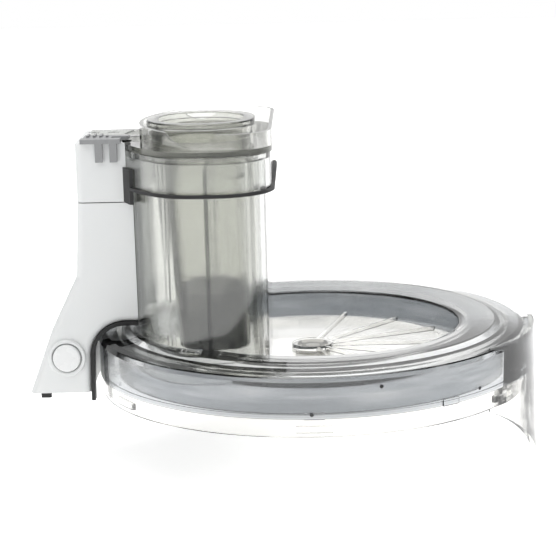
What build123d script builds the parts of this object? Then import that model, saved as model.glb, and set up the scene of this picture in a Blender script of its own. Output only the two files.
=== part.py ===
"""Work-bowl cover of a food processor, with its feed tube, pushers and interlock housing.

Millimetres, +Z up. The origin is on the axis of the cover, at the height of the bowl rim, so z = 0 is
the underside of the flange that rests on the bowl. -X points to the interlock housing (the handle side
of the bowl) and +X to the locking tab. The front, with the release button, faces -Y.
"""
import os

from build123d import *

os.makedirs("parts", exist_ok=True)

# ---------------------------------------------------------------- driving dimensions

# cover
COVER_R = 103.0           # outside of the band, the upper half of the skirt
STEP = 0.9                # the lower skirt is set in by this much
SPIGOT_R = 94.0           # outside of the spigot that drops into the bowl
DECK_R = 67.0             # recessed deck, at its foot
RIDGE_R = 88.0            # highest circle of the flange
WALL = 2.4                # clear wall
RIDGE_Z = 4.5             # top of the ridge
EDGE_Z = 2.5              # top of the outer edge
DECK_Z = -10.0            # top of the recessed deck
SPIGOT_Z = -17.5          # foot of the spigot
SKIRT_Z = -26.0           # foot of the skirt
HUB_R = 10.0
HUB_Z = -27.0             # foot of the hub boss
STEM_R = 3.5              # stem of a cutting disc

# locking tab, on the side away from the housing
TAB_TOP_R = 107.2         # how far out its end stands, at the top
TAB_TIP_R = 110.2         # and at the tip
TAB_TIP_Z = -62.5
TAB_START = -38.0         # degrees round the cover, where it leaves the skirt
TAB_MIDDLE = -16.0
TAB_END = 3.0

RIBS = 7                  # radial ribs on the deck
RIB = 1.6
RIB_HIGH = 1.8
LUGS = 6                  # bayonet lugs inside the skirt
LUG = 2.0
LUG_WIDE = 16.0
LUG_HIGH = 3.0
BUSH_R = 5.5
BUSH_DEEP = 13.0
TAB_HOLLOW_R = 300.0      # curve of its lower edge

# feed tube
TUBE_OUT_X = -86.0        # side towards the housing
TUBE_IN_X = -20.0         # side towards the hub
TUBE_ARC_R = 78.0         # curve of the outer side
TUBE_HALF_Y = 59.0
TUBE_CORNER_R = 22.0
TUBE_TOP_Z = 88.0
TUBE_WALL = 2.4

# sleeve and pushers
SLIP = 0.5                # gap between sleeve and feed tube
SLEEVE_WALL = 2.2
SLEEVE_Z = 73.5           # lower edge of the sleeve
SLEEVE_TOP_Z = 91.0
PUSHER_GAP = 0.8          # gap between large pusher and feed tube
PUSHER_WALL = 1.8
PUSHER_Z = -7.0           # lowest face of both pushers
CROWN_Z = 101.0           # top of the large pusher
LIFT_GAP = 0.3            # gap at each stop between pieces that part
SMALL_X = -46.5           # middle of the small feed tube at its foot
SMALL_WIDE = 39.0         # its outside there, along X
SMALL_LONG = 50.0         # and along Y
SMALL_TOP_X = -50.5       # the tube widens upwards, mostly on the side towards the housing
SMALL_TOP_WIDE = 48.0
SMALL_TOP_LONG = 55.0
SMALL_GAP = 0.5
FOOT_TOP_Z = 22.0         # top of the dark foot

# interlock housing
HOUSE_HALF_Y = 26.0
HOUSE_WALL = 2.2
HOUSE_FOOT_X = -134.5     # outer lower corner
HOUSE_FOOT_Z = -24.0
HOUSE_KNEE = (-122.8, 6.5)
HOUSE_BEND = (-110.0, 32.0)
HOUSE_TOP_X = -107.8
SEAM_Z = 66.5             # seam between housing and arm
ARM_TOP_Z = 94.0
ARCH_X = -88.0            # centre of the arch over the cover rim
ARCH_Z = -7.0
ARCH_R = 17.0
SEAL = 1.8                # thickness of the black edge strips

# button, pawl and interlock rod
BUTTON = (-116.2, -6.8)   # x, z of the button axis
BUTTON_R = 6.6
BEZEL_R = 9.0
BUTTON_TRAVEL = 3.0
PAWL_PIN = (-7.5, 8.0)    # y, z of the pawl pin
PAWL_X = -111.5           # middle of the pawl
PIN_R = 1.5
ROD_X = -100.3
ROD_R = 2.5
ROD_TRAVEL = 5.0
BOLT_TRAVEL = 3.0
FIT = 0.05                # radial clearance of a pin in its bore
HOUSE_ROUND = 3.2         # rounding of the housing's upright edges
TUBE_CLEAR = 0.2          # gap between housing and feed tube
FIN_REACH = 11.0          # fin of the feed tube inside the housing
FIN_THICK = 3.0
FIN_Z = (20.0, 58.0)
SHELL_SCREWS = ((-92.2, 28.0), (-92.2, 50.0))
SCREW_R = 1.5
SCREW_REACH = 12.0        # how far a shell screw goes past the middle
HEAD_R = 2.6
HEAD_HIGH = 1.8
BOSS_R = 3.2
SEAL_WIDE = 5.0           # edge strip, across the housing
SPRING_X = -118.8         # axis of the button spring
SEAT_R = 3.9
SEAT_Y = 6.0              # the spring seat stands this far in front of the middle
BUTTON_FLANGE = 1.5
BUTTON_BACK = HOUSE_HALF_Y - HOUSE_WALL - 0.3 - BUTTON_FLANGE
EAR = 1.3
PAWL_WIDE = 5.0
PAWL_THICK = 3.0
PAWL_FOOT_Z = -22.0
ROD_Y = 5.0
ROD_SINK = 0.5            # top of the rod below the seam
GUIDE_Z = 34.0
GUIDE_HIGH = 4.0
COLLAR_Z = 50.0
CRANK_TOP_Z = 28.0
LEG_X = -111.6
LEG_FOOT_Z = -21.0
ARM_Z = SEAM_Z + 0.5
CAP_Z = ARM_TOP_Z - 1.8   # grey cap on the arm
CAP_HIGH = 1.8
ARM_LONG = 40.0
CAP_SCREWS = ((-103.0, 17.0), (-93.5, 17.0), (-103.0, -5.5))
TRIM = 1.5                # thickness of the black trim on the sleeve
TRIM_HIGH = 16.0
TRIM_LONG = 9.5           # its upright ends, across the sleeve
TRIM_EDGE = 1.5           # height of the strip along the lower edge
PLUNGER_COLLAR_Z = 78.0
SLIDER_Z = ARM_TOP_Z + 0.3
SLIDER_HIGH = 2.0
SLIDER_Y = -15.0          # line of the bolt
STRIP_X = (-104.8, -86.4) # grey strip along the front of the arm
STRIP_OUT = 2.6           # how far it stands in front of the arm
STRIP_DEEP = 6.2
THUMB_X = (-104.0, -91.0) # thumb plate
THUMB_DEEP = 12.0
PRONG_X = (-96.4, -89.7)
PRONG_WIDE = 3.4
PRONG_THICK = 2.2
PRONG_LONG = 8.6
BOLT_WIDE = 6.0
BOLT_TIP_X = -83.0
BOLT_TAIL_X = -94.0        # tail held in the thumb plate
STEM_X = -99.5
WINDOW_WIDE = BOLT_WIDE + 1.4
WINDOW_HIGH = 5.2
STEM_LONG = 3.0
STEM_WIDE = 3.0
PUSHER_INSET = TUBE_WALL + PUSHER_GAP
PUSHER_CLEAR = -PUSHER_INSET + 0.6
PLATE = 2.4
CROWN_FOOT_Z = SLEEVE_TOP_Z + LIFT_GAP
CROWN_GROW = 1.8          # flange of the crown, outside the feed tube
CROWN_INSET = -1.5        # rim of the crown
CROWN_SHIFT = 5.0         # the rim stands towards the hub, clear of the arm
TAB_Z = ARM_TOP_Z + 0.3
SMALL_TOP_Z = 99.0
SMALL_INSET = PUSHER_WALL + SMALL_GAP


# ---------------------------------------------------------------- outlines used by several pieces

def tube_outline(grow=0.0):
    """Plan of the feed tube: a round outer side, a straight inner side. grow moves it outwards."""
    with BuildSketch() as plan:
        with Locations((TUBE_OUT_X + TUBE_ARC_R, 0)):
            Circle(TUBE_ARC_R)
        with Locations((TUBE_IN_X, 0)):
            Rectangle(TUBE_ARC_R, 2 * TUBE_HALF_Y, align=(Align.MAX, Align.CENTER), mode=Mode.INTERSECT)
        fillet(plan.vertices(), TUBE_CORNER_R)
        if grow:
            offset(amount=grow)
    return plan.sketch


def small_outline(height, grow=0.0):
    """Plan of the small feed tube at a height: a stadium, long side along Y. grow moves it outwards."""
    share = (height - PUSHER_Z) / (SMALL_TOP_Z - PUSHER_Z)
    middle = SMALL_X + share * (SMALL_TOP_X - SMALL_X)
    wide = SMALL_WIDE + share * (SMALL_TOP_WIDE - SMALL_WIDE)
    long = SMALL_LONG + share * (SMALL_TOP_LONG - SMALL_LONG)
    with BuildSketch() as plan:
        with Locations((middle, 0)):
            SlotOverall(long + 2 * grow, wide + 2 * grow, rotation=90)
    return plan.sketch


def slab(outline, low, high):
    """A plan drawn on the XY plane, made solid from one height to another."""
    with BuildPart() as body:
        with BuildSketch(Plane.XY.offset(low)):
            add(outline)
        extrude(amount=high - low)
    return body.part


def stack(outline_low, low, outline_high, high):
    """A straight-sided solid that changes from one plan to another."""
    with BuildPart() as body:
        with BuildSketch(Plane.XY.offset(low)):
            add(outline_low)
        with BuildSketch(Plane.XY.offset(high)):
            add(outline_high)
        loft(ruled=True)
    return body.part


def small_solid(grow, low, high):
    """The small feed tube as a solid between two heights."""
    return stack(small_outline(low, grow), low, small_outline(high, grow), high)


def housing_outline(inset=0.0, drop=0.0):
    """Side view of the housing: upright column, slanted foot, and an arch over the cover rim.

    drop carries the foot further down along its slant, so that a hollow opens below."""
    slant = (HOUSE_KNEE[0] - HOUSE_FOOT_X) / (HOUSE_KNEE[1] - HOUSE_FOOT_Z)
    with BuildSketch() as side:
        with BuildLine():
            Polyline(
                (ARCH_X - ARCH_R, ARCH_Z),
                (ARCH_X - ARCH_R - 0.5, HOUSE_FOOT_Z - drop),
                (HOUSE_FOOT_X - slant * drop, HOUSE_FOOT_Z - drop),
                HOUSE_KNEE,
                HOUSE_BEND,
                (HOUSE_TOP_X, SEAM_Z),
                (TUBE_OUT_X + 8, SEAM_Z),
                (TUBE_OUT_X + 8, ARCH_Z + ARCH_R),
                (ARCH_X, ARCH_Z + ARCH_R),
            )
            RadiusArc((ARCH_X, ARCH_Z + ARCH_R), (ARCH_X - ARCH_R, ARCH_Z), -ARCH_R)
        make_face()
        if inset:
            offset(amount=-inset)
    return side.sketch


def coil(radius, wire, turns, height):
    """A compression spring between the XY plane and a seat above it, a wire's thickness inside both."""
    climb = height - 1.6 * wire
    with BuildPart() as spring:
        with BuildLine():
            Helix(climb / turns, climb, radius, center=(0, 0, 0.8 * wire))
        with BuildSketch(Plane(origin=(radius, 0, 0.8 * wire), z_dir=(0, 1, 0))):
            Circle(wire / 2)
        sweep(is_frenet=True)
    return spring.part


def save(piece, name):
    piece.label = name
    export_step(piece, f"parts/{name}.step")


# ---------------------------------------------------------------- cover and what is fixed in it

def round_cover(radius, angle):
    """A point on a circle about the axis of the cover."""
    return Vector(radius, 0).rotate(Axis.Z, angle)


def tab_plan(end_r):
    """Plan of the locking tab: a wall that leaves the skirt gently and stands off it at its end."""
    root_r = COVER_R - 1.3
    with BuildSketch() as plan:
        with BuildLine():
            ThreePointArc(round_cover(root_r, TAB_START), round_cover((COVER_R + end_r) / 2 + 0.6, TAB_MIDDLE),
                          round_cover(end_r, TAB_END))
            Line(round_cover(end_r, TAB_END), round_cover(end_r - WALL, TAB_END))
            ThreePointArc(round_cover(end_r - WALL, TAB_END),
                          round_cover((COVER_R + end_r) / 2 + 0.6 - WALL, TAB_MIDDLE),
                          round_cover(root_r - 0.6, TAB_START))
            Line(round_cover(root_r - 0.6, TAB_START), round_cover(root_r, TAB_START))
        make_face()
    return plan.sketch


def locking_tab():
    """Wing outside the skirt. Its wall runs down to a tip, and its lower edge is hollowed."""
    across = {name: (COVER_R + 4) * Vector(1, 0).rotate(Axis.Z, angle - TAB_MIDDLE).Y
              for name, angle in (("start", TAB_START), ("tip", -5.0), ("end", TAB_END))}
    with BuildPart() as wing:
        add(stack(tab_plan(TAB_TIP_R), TAB_TIP_Z, tab_plan(TAB_TOP_R), EDGE_Z))
        with BuildSketch(Plane.YZ.rotated((0, 0, TAB_MIDDLE)).offset(COVER_R - 20)):
            with BuildLine():
                Polyline((across["start"] - 5, SKIRT_Z + 2), (across["start"] - 5, EDGE_Z + 1),
                         (across["end"] + 2, EDGE_Z + 1), (across["end"] + 2, SKIRT_Z),
                         (across["tip"] + 4, TAB_TIP_Z + 2), (across["tip"] + 1, TAB_TIP_Z),
                         (across["tip"] - 4, TAB_TIP_Z + 1.5))
                RadiusArc((across["tip"] - 4, TAB_TIP_Z + 1.5), (across["start"] - 5, SKIRT_Z + 2),
                          -TAB_HOLLOW_R)
            make_face()
        extrude(amount=40, mode=Mode.INTERSECT)
        # roof between the wing and the skirt
        with BuildSketch(Plane.XY.offset(EDGE_Z - WALL - 1)):
            with BuildLine():
                ThreePointArc(round_cover(COVER_R + 0.6, TAB_MIDDLE - 8), round_cover(COVER_R + 2.4, TAB_MIDDLE + 6),
                              round_cover(TAB_TOP_R - 0.9, TAB_END - 0.4))
                Line(round_cover(TAB_TOP_R - 0.9, TAB_END - 0.4), round_cover(COVER_R - 1.5, TAB_END - 0.4))
                ThreePointArc(round_cover(COVER_R - 1.5, TAB_END - 0.4), round_cover(COVER_R - 1.5, TAB_MIDDLE),
                              round_cover(COVER_R - 1.5, TAB_MIDDLE - 8))
                Line(round_cover(COVER_R - 1.5, TAB_MIDDLE - 8), round_cover(COVER_R + 0.6, TAB_MIDDLE - 8))
            make_face()
        extrude(amount=WALL)
        # web that closes the end
        with BuildSketch(Plane.XY.offset(SKIRT_Z)):
            with BuildLine():
                Polyline(round_cover(COVER_R - WALL, TAB_END - 0.4), round_cover(TAB_TOP_R - 0.9, TAB_END - 0.4),
                         round_cover(TAB_TOP_R - 0.9, TAB_END - 1.4), round_cover(COVER_R - WALL, TAB_END - 1.4),
                         close=True)
            make_face()
        extrude(amount=EDGE_Z - 1 - SKIRT_Z)
    return wing.part


with BuildPart() as cover:
    # flange, skirt, spigot and recessed deck are one revolved wall
    with BuildSketch(Plane.XZ):
        with BuildLine():
            Polyline(
                (0, DECK_Z),
                (DECK_R, DECK_Z),
                (DECK_R + 4, RIDGE_Z - 2.0),
                (DECK_R + 8, RIDGE_Z - 0.6),
                (RIDGE_R, RIDGE_Z),
                (COVER_R - 3.5, EDGE_Z),
                (COVER_R - 1.0, EDGE_Z - 1.2),
                (COVER_R, EDGE_Z - 3.5),
                (COVER_R, SPIGOT_Z),
                (COVER_R - STEP, SPIGOT_Z),
                (COVER_R - STEP, SKIRT_Z),
                (COVER_R - STEP - WALL, SKIRT_Z),
                (COVER_R - STEP - WALL, SPIGOT_Z + 1.5),
                (COVER_R - WALL, SPIGOT_Z + 1.5),
                (COVER_R - WALL, 0),
                (SPIGOT_R, 0),
                (SPIGOT_R, SPIGOT_Z),
                (SPIGOT_R - WALL, SPIGOT_Z),
                (SPIGOT_R - WALL, 0.4),
                (RIDGE_R, RIDGE_Z - WALL),
                (DECK_R + 6, RIDGE_Z - WALL - 1.8),
                (DECK_R + 1.5, DECK_Z - WALL),
                (0, DECK_Z - WALL),
                close=True,
            )
        make_face()
    revolve(axis=Axis.Z)
    # hub boss under the deck, closed on top
    with BuildSketch(Plane.XY.offset(HUB_Z)):
        Circle(HUB_R)
    extrude(amount=DECK_Z + 2.0 - HUB_Z)
    # radial ribs on the deck
    with BuildSketch(Plane.XY.offset(DECK_Z - 0.5)):
        with PolarLocations((HUB_R + DECK_R) / 2, RIBS, start_angle=-75, angular_range=150, endpoint=True):
            Rectangle(DECK_R - HUB_R + 3, RIB)
    extrude(amount=RIB_HIGH + 0.5)
    # bayonet lugs inside the skirt
    with BuildSketch(Plane.XY.offset(SKIRT_Z + 1.5)):
        with PolarLocations(COVER_R - STEP - WALL, LUGS, start_angle=-90):
            Rectangle(2 * LUG, LUG_WIDE)
        Circle(COVER_R - STEP - WALL / 2, mode=Mode.INTERSECT)
    extrude(amount=LUG_HIGH)
    # three wedges on the outside of the skirt
    with BuildSketch(Plane.XY.offset(SPIGOT_Z)):
        with PolarLocations(COVER_R - 0.4, 3, start_angle=-90, angular_range=72, endpoint=True):
            Rectangle(2.6, 9)
    extrude(amount=LUG_HIGH)
    add(locking_tab())
    # opening of the feed tube through the deck and the flange
    add(slab(tube_outline(), SKIRT_Z, RIDGE_Z + 1), mode=Mode.SUBTRACT)
    # bore of the hub for its bush
    with BuildSketch(Plane.XY.offset(HUB_Z)):
        Circle(BUSH_R)
    extrude(amount=BUSH_DEEP, mode=Mode.SUBTRACT)
save(cover.part, "cover")

with BuildPart() as hub_bush:
    with BuildSketch(Plane.XY.offset(HUB_Z)):
        Circle(BUSH_R)
    extrude(amount=BUSH_DEEP)
    with BuildSketch(Plane.XY.offset(HUB_Z)):
        Circle(BUSH_R + 2)
    extrude(amount=-1.2)
    with BuildSketch(Plane.XY.offset(HUB_Z - 1.2)):
        Circle(STEM_R + FIT)
    extrude(amount=BUSH_DEEP + 1.2, mode=Mode.SUBTRACT)
save(hub_bush.part, "hub_bush")

with BuildPart() as feed_tube:
    add(slab(tube_outline(), DECK_Z - WALL, TUBE_TOP_Z))
    # fin that carries the housing
    with BuildSketch(Plane.XZ):
        with Locations((TUBE_OUT_X + 1, (FIN_Z[0] + FIN_Z[1]) / 2)):
            Rectangle(FIN_REACH + 1, FIN_Z[1] - FIN_Z[0], align=(Align.MAX, Align.CENTER))
    extrude(amount=FIN_THICK / 2, both=True)
    add(slab(tube_outline(-TUBE_WALL), DECK_Z - WALL, TUBE_TOP_Z), mode=Mode.SUBTRACT)
    with BuildSketch(Plane.XZ):
        with Locations(*SHELL_SCREWS):
            Circle(SCREW_R + 0.1)
    extrude(amount=FIN_THICK, both=True, mode=Mode.SUBTRACT)
save(feed_tube.part, "feed_tube")


# ---------------------------------------------------------------- interlock housing

def housing_block(inset, drop=0.0):
    """The housing as a solid, or its hollow when inset by the wall."""
    with BuildPart() as block:
        with BuildSketch(Plane.XZ):
            add(housing_outline(inset, drop))
        extrude(amount=HOUSE_HALF_Y - inset, both=True)
        if not inset:
            rims = block.faces().filter_by(Axis.Y).edges()
            fillet([e for e in rims if HOUSE_FOOT_Z + 1 < e.center().Z < SEAM_Z - 1], HOUSE_ROUND)
    return block.part


with BuildPart() as housing:
    add(housing_block(0))
    add(slab(tube_outline(TUBE_CLEAR), ARCH_Z, SEAM_Z + 1), mode=Mode.SUBTRACT)
    with BuildPart(mode=Mode.PRIVATE) as hollow:
        add(housing_block(HOUSE_WALL, HOUSE_WALL + 2))
        add(slab(tube_outline(TUBE_CLEAR + HOUSE_WALL), ARCH_Z, SEAM_Z + 1), mode=Mode.SUBTRACT)
    add(hollow.part, mode=Mode.SUBTRACT)
    # bosses for the screws, cut off where the fin sits
    with BuildSketch(Plane.XZ):
        with Locations(*SHELL_SCREWS):
            Circle(BOSS_R)
    extrude(amount=HOUSE_HALF_Y - 1, both=True)
    with BuildSketch(Plane.XZ):
        with Locations((TUBE_OUT_X + 2, (FIN_Z[0] + FIN_Z[1]) / 2)):
            Rectangle(FIN_REACH + 2.5, FIN_Z[1] - FIN_Z[0] + 1, align=(Align.MAX, Align.CENTER))
    extrude(amount=FIN_THICK / 2 + 0.1, both=True, mode=Mode.SUBTRACT)
    # hole for the rod through the roof
    with BuildSketch(Plane.XY.offset(SEAM_Z)):
        with Locations((ROD_X, ROD_Y)):
            Circle(ROD_R + 0.5)
    extrude(amount=-5, mode=Mode.SUBTRACT)

with BuildPart() as housing_front_shell:
    add(housing.part)
    split(bisect_by=Plane.XZ, keep=Keep.TOP)
    # ears for the pawl pin
    with BuildSketch(Plane.XZ.offset(HOUSE_HALF_Y - HOUSE_WALL / 2)):
        with Locations((PAWL_X - PAWL_WIDE / 2 - EAR / 2 - 0.3, PAWL_PIN[1]),
                       (PAWL_X + PAWL_WIDE / 2 + EAR / 2 + 0.3, PAWL_PIN[1])):
            Rectangle(EAR, 7.6)
    extrude(amount=-(HOUSE_HALF_Y - HOUSE_WALL / 2 - 4.2))
    with BuildSketch(Plane.YZ.offset(PAWL_X)):
        with Locations(PAWL_PIN):
            Circle(PIN_R)
    extrude(amount=PAWL_WIDE / 2 + EAR + 0.3, both=True, mode=Mode.SUBTRACT)
    # hole for the bezel
    with BuildSketch(Plane.XZ):
        with Locations(BUTTON):
            Circle(BEZEL_R - 0.6)
    extrude(amount=HOUSE_HALF_Y + 1, mode=Mode.SUBTRACT)
    # holes for the screw shanks
    with BuildSketch(Plane.XZ):
        with Locations(*SHELL_SCREWS):
            Circle(SCREW_R)
    extrude(amount=SCREW_REACH, mode=Mode.SUBTRACT)
save(housing_front_shell.part, "housing_front_shell")

with BuildPart() as housing_back_shell:
    add(housing.part)
    split(bisect_by=Plane.XZ, keep=Keep.BOTTOM)
    # seat for the button spring
    with BuildSketch(Plane.XZ.offset(-HOUSE_HALF_Y + HOUSE_WALL / 2)):
        with Locations((SPRING_X, BUTTON[1])):
            Circle(SEAT_R)
    extrude(amount=HOUSE_HALF_Y - HOUSE_WALL / 2 - SEAT_Y)
    # shank and head of each screw
    with BuildSketch(Plane.XZ):
        with Locations(*SHELL_SCREWS):
            Circle(SCREW_R + 0.1)
    extrude(amount=-HOUSE_HALF_Y - 1, mode=Mode.SUBTRACT)
    with BuildSketch(Plane.XZ.offset(-HOUSE_HALF_Y)):
        with Locations(*SHELL_SCREWS):
            Circle(HEAD_R + 0.2)
    extrude(amount=HEAD_HIGH + 0.5, mode=Mode.SUBTRACT)
save(housing_back_shell.part, "housing_back_shell")

with BuildPart() as housing_screws:
    with BuildSketch(Plane.XZ.offset(-HOUSE_HALF_Y + 0.5)):
        with Locations(*SHELL_SCREWS):
            Circle(HEAD_R)
    extrude(amount=HEAD_HIGH)
    with BuildSketch(Plane.XZ.offset(-HOUSE_HALF_Y + 0.5)):
        with Locations(*SHELL_SCREWS):
            Circle(SCREW_R)
    extrude(amount=HOUSE_HALF_Y - 0.5 + SCREW_REACH)
save(housing_screws.part, "housing_screws")

with BuildPart() as housing_edge_seals:
    with BuildSketch(Plane.XZ.offset(HOUSE_HALF_Y)):
        with BuildLine():
            Line((ARCH_X - ARCH_R, ARCH_Z), (ARCH_X - ARCH_R - 0.5, HOUSE_FOOT_Z - 4))
            Line((ARCH_X - ARCH_R - 0.5, HOUSE_FOOT_Z - 4), (ARCH_X - ARCH_R - 0.5 + SEAL, HOUSE_FOOT_Z - 4))
            Line((ARCH_X - ARCH_R - 0.5 + SEAL, HOUSE_FOOT_Z - 4), (ARCH_X - ARCH_R + SEAL, ARCH_Z))
            RadiusArc((ARCH_X - ARCH_R + SEAL, ARCH_Z), (ARCH_X, ARCH_Z + ARCH_R - SEAL), ARCH_R - SEAL)
            Polyline((ARCH_X, ARCH_Z + ARCH_R - SEAL), (ARCH_X + 8, ARCH_Z + ARCH_R - SEAL),
                     (ARCH_X + 8, ARCH_Z + ARCH_R), (ARCH_X, ARCH_Z + ARCH_R))
            RadiusArc((ARCH_X, ARCH_Z + ARCH_R), (ARCH_X - ARCH_R, ARCH_Z), -ARCH_R)
        make_face()
    extrude(amount=-SEAL_WIDE)
    mirror(about=Plane.XZ)
    add(slab(tube_outline(TUBE_CLEAR), ARCH_Z, SEAM_Z), mode=Mode.SUBTRACT)
save(housing_edge_seals.part, "housing_edge_seals")

with BuildPart() as housing_feet:
    with BuildSketch(Plane.XY.offset(HOUSE_FOOT_Z)):
        with Locations((HOUSE_FOOT_X + 7.5, 0)):
            with GridLocations(0, 2 * HOUSE_HALF_Y - HOUSE_WALL, 1, 2):
                SlotOverall(5, 2.2)
    extrude(amount=-2.2)
save(housing_feet.part, "housing_feet")

with BuildPart() as button_bezel:
    with BuildSketch(Plane.XZ.offset(HOUSE_HALF_Y)):
        with Locations(BUTTON):
            Circle(BEZEL_R)
            Circle(BUTTON_R + 0.4, mode=Mode.SUBTRACT)
    extrude(amount=1.3)
    with BuildSketch(Plane.XZ.offset(HOUSE_HALF_Y)):
        with Locations(BUTTON):
            Circle(BEZEL_R - 0.6)
            Circle(BUTTON_R + 0.4, mode=Mode.SUBTRACT)
    extrude(amount=-HOUSE_WALL)
    chamfer(button_bezel.faces().sort_by(Axis.Y)[0].edges(), 0.5)
save(button_bezel.part, "button_bezel")

with BuildPart() as release_button:
    with BuildSketch(Plane.XZ.offset(HOUSE_HALF_Y - HOUSE_WALL - 0.3)):
        with Locations(BUTTON):
            Circle(BUTTON_R)
    extrude(amount=HOUSE_WALL + 2.4)
    fillet(release_button.faces().sort_by(Axis.Y)[0].edges(), 0.9)
    # flange behind the bezel, and the post that pushes the pawl
    with BuildSketch(Plane.XZ.offset(HOUSE_HALF_Y - HOUSE_WALL - 0.3)):
        with Locations(BUTTON):
            Circle(BUTTON_R + 1.0)
    extrude(amount=-BUTTON_FLANGE)
    with BuildSketch(Plane.XZ.offset(HOUSE_HALF_Y - HOUSE_WALL - 0.3)):
        with Locations((PAWL_X, BUTTON[1])):
            Circle(1.8)
    extrude(amount=-(HOUSE_HALF_Y - HOUSE_WALL - 0.3 + PAWL_PIN[0] - PAWL_THICK / 2 - 0.4))
save(release_button.part, "release_button")

with BuildPart() as button_spring:
    with Locations(Plane(origin=(SPRING_X, -BUTTON_BACK, BUTTON[1]), z_dir=(0, 1, 0))):
        add(coil(2.8, 0.7, 4.5, BUTTON_BACK - SEAT_Y))
save(button_spring.part, "button_spring")

with BuildPart() as latch_pin:
    with BuildSketch(Plane.YZ.offset(PAWL_X)):
        with Locations(PAWL_PIN):
            Circle(PIN_R)
    extrude(amount=PAWL_WIDE / 2 + EAR + 0.3, both=True)
save(latch_pin.part, "latch_pin")

with BuildPart() as latch_pawl:
    with BuildSketch(Plane.YZ.offset(PAWL_X)):
        with Locations(PAWL_PIN):
            Circle(3.2)
        with Locations((PAWL_PIN[0], (PAWL_PIN[1] + PAWL_FOOT_Z) / 2)):
            Rectangle(PAWL_THICK, PAWL_PIN[1] - PAWL_FOOT_Z)
        with BuildLine():
            Polyline((PAWL_PIN[0], PAWL_FOOT_Z), (PAWL_PIN[0] - 3, PAWL_FOOT_Z),
                     (PAWL_PIN[0] - 5.5, PAWL_FOOT_Z + 3), (PAWL_PIN[0] - 5.5, PAWL_FOOT_Z + 4.5),
                     (PAWL_PIN[0], PAWL_FOOT_Z + 4.5), close=True)
        make_face()
        with Locations(PAWL_PIN):
            Circle(PIN_R + FIT, mode=Mode.SUBTRACT)
    extrude(amount=PAWL_WIDE / 2, both=True)
save(latch_pawl.part, "latch_pawl")

with BuildPart() as rod_guide:
    with BuildSketch(Plane.XY.offset(GUIDE_Z)):
        with Locations((ROD_X - 0.4, 0)):
            Rectangle(9.6, 2 * (HOUSE_HALF_Y - HOUSE_WALL))
        with Locations((ROD_X, ROD_Y)):
            Circle(ROD_R + FIT, mode=Mode.SUBTRACT)
        # notch for the fin
        with Locations((TUBE_OUT_X - FIN_REACH - 0.4, 0)):
            Rectangle(FIN_REACH, FIN_THICK + 0.6, align=(Align.MIN, Align.CENTER), mode=Mode.SUBTRACT)
    extrude(amount=GUIDE_HIGH)
save(rod_guide.part, "rod_guide")

with BuildPart() as interlock_rod:
    with BuildSketch(Plane.XY.offset(CRANK_TOP_Z - 4)):
        with Locations((ROD_X, ROD_Y)):
            Circle(ROD_R)
    extrude(amount=SEAM_Z - ROD_SINK - CRANK_TOP_Z + 4)
    with BuildSketch(Plane.XY.offset(COLLAR_Z)):
        with Locations((ROD_X, ROD_Y)):
            Circle(ROD_R + 1.7)
    extrude(amount=2)
    # flat crank that carries the push round the button to the handle
    with BuildSketch(Plane.XZ.offset(-ROD_Y)):
        with BuildLine():
            Polyline((ROD_X - 2.5, CRANK_TOP_Z), (ROD_X + 1.5, CRANK_TOP_Z), (ROD_X + 1.5, CRANK_TOP_Z - 6),
                     (LEG_X + 1.9, 2), (LEG_X + 1.9, LEG_FOOT_Z), (LEG_X - 1.9, LEG_FOOT_Z), (LEG_X - 1.9, 2),
                     close=True)
        make_face()
    extrude(amount=2, both=True)
save(interlock_rod.part, "interlock_rod")

with BuildPart() as rod_spring:
    with Locations((ROD_X, ROD_Y, GUIDE_Z + GUIDE_HIGH)):
        add(coil(3.5, 0.8, 4, COLLAR_Z - GUIDE_Z - GUIDE_HIGH))
save(rod_spring.part, "rod_spring")


# ---------------------------------------------------------------- sleeve and its arm

with BuildPart() as pusher_sleeve:
    add(slab(tube_outline(SLIP + SLEEVE_WALL), SLEEVE_Z, SLEEVE_TOP_Z))
    add(slab(tube_outline(SLIP), SLEEVE_Z, TUBE_TOP_Z + LIFT_GAP), mode=Mode.SUBTRACT)
    add(slab(tube_outline(PUSHER_CLEAR), TUBE_TOP_Z, SLEEVE_TOP_Z), mode=Mode.SUBTRACT)
save(pusher_sleeve.part, "pusher_sleeve")


def arm_outline(inset=0.0):
    """Plan of the arm: a rounded block cut by the outside of the sleeve."""
    left = HOUSE_TOP_X + inset
    half = HOUSE_HALF_Y - inset
    with BuildSketch() as plan:
        with Locations((left, 0)):
            Rectangle(ARM_LONG, 2 * half, align=(Align.MIN, Align.CENTER))
        fillet(plan.vertices().group_by(Axis.X)[0], HOUSE_ROUND)
        add(tube_outline(SLIP + SLEEVE_WALL + inset), mode=Mode.SUBTRACT)
    return plan.sketch


with BuildPart() as sleeve_arm:
    add(slab(arm_outline(), ARM_Z, CAP_Z))
    add(slab(arm_outline(HOUSE_WALL), ARM_Z + HOUSE_WALL, CAP_Z), mode=Mode.SUBTRACT)
    # bosses for the screws of the cap
    with BuildSketch(Plane.XY.offset(ARM_Z + 1)):
        with Locations(*CAP_SCREWS):
            Circle(BOSS_R)
            Circle(SCREW_R, mode=Mode.SUBTRACT)
    extrude(amount=CAP_Z - ARM_Z - 1)
    with BuildSketch(Plane.XY.offset(ARM_Z)):
        with Locations((ROD_X, ROD_Y)):
            Circle(ROD_R + FIT)
    extrude(amount=HOUSE_WALL, mode=Mode.SUBTRACT)
save(sleeve_arm.part, "sleeve_arm")

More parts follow.
